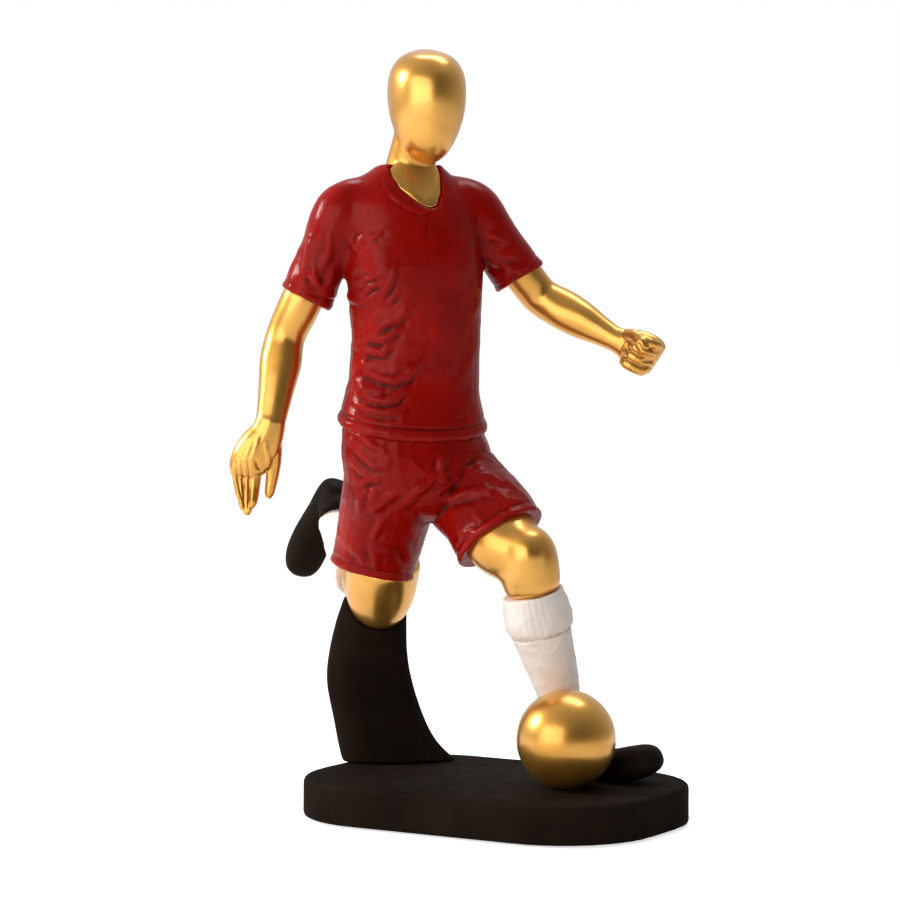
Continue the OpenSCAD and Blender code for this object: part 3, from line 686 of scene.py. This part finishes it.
def cast_limbs():
    for leg, sculpt in (("left_leg", sculpt_left_leg), ("right_leg", sculpt_right_leg)):
        finish_piece(recast(leg, 0.50, 4, sculpt, heal=everywhere, heal_rounds=110),
                     GOLD)
    for arm, elbow, wrist, gaps, ridges in (
            ("right_arm", RIGHT_ELBOW, RIGHT_WRIST, RIGHT_HAND_GAPS, RIGHT_HAND_TENDONS),
            ("left_arm", LEFT_ELBOW, LEFT_WRIST, LEFT_FIST_GAPS, LEFT_FIST_KNUCKLES)):
        finish_piece(recast(arm, 0.33, 12, sculpt_arm(elbow, wrist, gaps, ridges), keep=1.0,
                            heal=forearm_only(elbow, wrist)), GOLD)
    for sock, knee, ankle, cuff_to in (("left_sock", LEFT_KNEE, LEFT_ANKLE, 0.405),
                                       ("right_sock", RIGHT_KNEE, RIGHT_ANKLE, 0.44)):
        finish_piece(recast(sock, 0.45, 40, sculpt_sock(knee, ankle, cuff_to), keep=1.0),
                     SOCK)
    for boot, rounds in (("left_boot", 10), ("right_boot", 12)):
        finish_piece(recast(boot, 0.45, rounds, sculpt_boot), BOOT_BLACK)


def true_ball(points, normals):
    """Snaps the round part of the ball onto an exact sphere, and leaves its foot and hole."""
    low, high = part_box("ball")
    radius = (high.x - low.x) / 2
    centre = np.array([(low.x + high.x) / 2, (low.y + high.y) / 2, high.z - radius])
    rel = points - centre
    reach = np.linalg.norm(rel, axis=1)
    skin = (reach > 0.965 * radius) & (rel[:, 2] > -0.972 * radius)
    points = points.copy()
    points[skin] = centre + rel[skin] * (radius / reach[skin])[:, None]
    return points


cast_body()
cast_limbs()
finish_piece(recast("ball", 0.5, 3, true_ball, settle=0), GOLD)

for name, material in (("base_screws", STEEL), ("waist_dowels", STEEL), ("medium_dowels", STEEL),
                       ("small_dowels", STEEL), ("base_pad", FOAM)):
    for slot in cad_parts[name].material_slots:
        slot.material = material


# ---------- studio ----------
FLOOR_SIZE = 16
# What the floor adds by itself: to the camera, so that it comes out white, and to mirrors
FLOOR_GLOW, MIRRORED_GLOW = 0.68, 0.15
# The room is brightest towards BRIGHT_SIDE, as seen in the gold
BRIGHT_SIDE = (-0.80, 0.45, 0.30)
ROOM_DARK, ROOM_BRIGHT = 0.03, 0.60
WHITE_BACKDROP = 1.0


def floor_plane():
    half = FLOOR_SIZE / 2
    mesh = bpy.data.meshes.new("floor")
    mesh.from_pydata([(-half, -half, 0), (half, -half, 0), (half, half, 0), (-half, half, 0)],
                     [], [(0, 1, 2, 3)])
    made = bpy.data.objects.new("floor", mesh)
    scene.collection.objects.link(made)
    return made


def floor_material():
    p = Paint("studio_floor", Roughness=0.9)
    p.shader.inputs["Base Color"].default_value = (0.80, 0.79, 0.785, 1)
    rays = p.node("ShaderNodeLightPath").outputs
    to_camera = p.math("MULTIPLY", rays["Is Camera Ray"], FLOOR_GLOW)
    mirrored = p.math("MAXIMUM", rays["Is Glossy Ray"], rays["Is Transmission Ray"])
    seen = p.math("ADD", to_camera, p.math("MULTIPLY", mirrored, MIRRORED_GLOW))
    glow = p.node("ShaderNodeEmission", {"Strength": seen})
    both = p.node("ShaderNodeAddShader", {0: p.shader.outputs[0], 1: glow.outputs[0]})
    p.tree.links.new(both.outputs[0], p.tree.nodes["Material Output"].inputs["Surface"])
    return p.material


floor = floor_plane()
floor.data.materials.append(floor_material())


def studio_world():
    """A room that is brighter on one side, with a white backdrop for the camera alone."""
    world = bpy.data.worlds.new("studio")
    world.use_nodes = True
    tree = world.node_tree
    background = tree.nodes["Background"]
    background.inputs["Color"].default_value = (1, 1, 1, 1)
    direction = tree.nodes.new("ShaderNodeTexCoord")
    facing = tree.nodes.new("ShaderNodeVectorMath")
    facing.operation = "DOT_PRODUCT"
    tree.links.new(direction.outputs["Generated"], facing.inputs[0])
    facing.inputs[1].default_value = BRIGHT_SIDE
    room = tree.nodes.new("ShaderNodeMapRange")
    room.inputs["From Min"].default_value = -0.85
    room.inputs["From Max"].default_value = 0.60
    room.inputs["To Min"].default_value = ROOM_DARK
    room.inputs["To Max"].default_value = ROOM_BRIGHT
    tree.links.new(facing.outputs["Value"], room.inputs["Value"])
    paths = tree.nodes.new("ShaderNodeLightPath")
    seen = tree.nodes.new("ShaderNodeMix")
    tree.links.new(paths.outputs["Is Camera Ray"], seen.inputs["Factor"])
    tree.links.new(room.outputs["Result"], seen.inputs["A"])
    seen.inputs["B"].default_value = WHITE_BACKDROP
    tree.links.new(seen.outputs["Result"], background.inputs["Strength"])
    return world


scene.world = studio_world()


MIDDLE = Vector((-0.03, 0.0, 0.16))
WARM_WHITE = (1.0, 0.97, 0.93)


def softbox(name, location, size, power, tint=(1, 1, 1)):
    """A rectangular lamp that looks at the middle of the figure."""
    lamp = bpy.data.lights.new(name, "AREA")
    lamp.shape = "RECTANGLE"
    lamp.size, lamp.size_y = size
    lamp.energy = power
    lamp.color = tint
    made = bpy.data.objects.new(name, lamp)
    made.location = location
    made.rotation_euler = (MIDDLE - Vector(location)).to_track_quat("-Z", "Y").to_euler()
    scene.collection.objects.link(made)


softbox("window", (-0.11, -1.22, 0.38), (1.25, 0.95), 8.0, WARM_WHITE)
softbox("key", (-1.05, -0.50, 0.72), (0.22, 0.30), 10.0, WARM_WHITE)
softbox("top", (-0.1, 0.45, 1.2), (0.9, 0.35), 5.0)
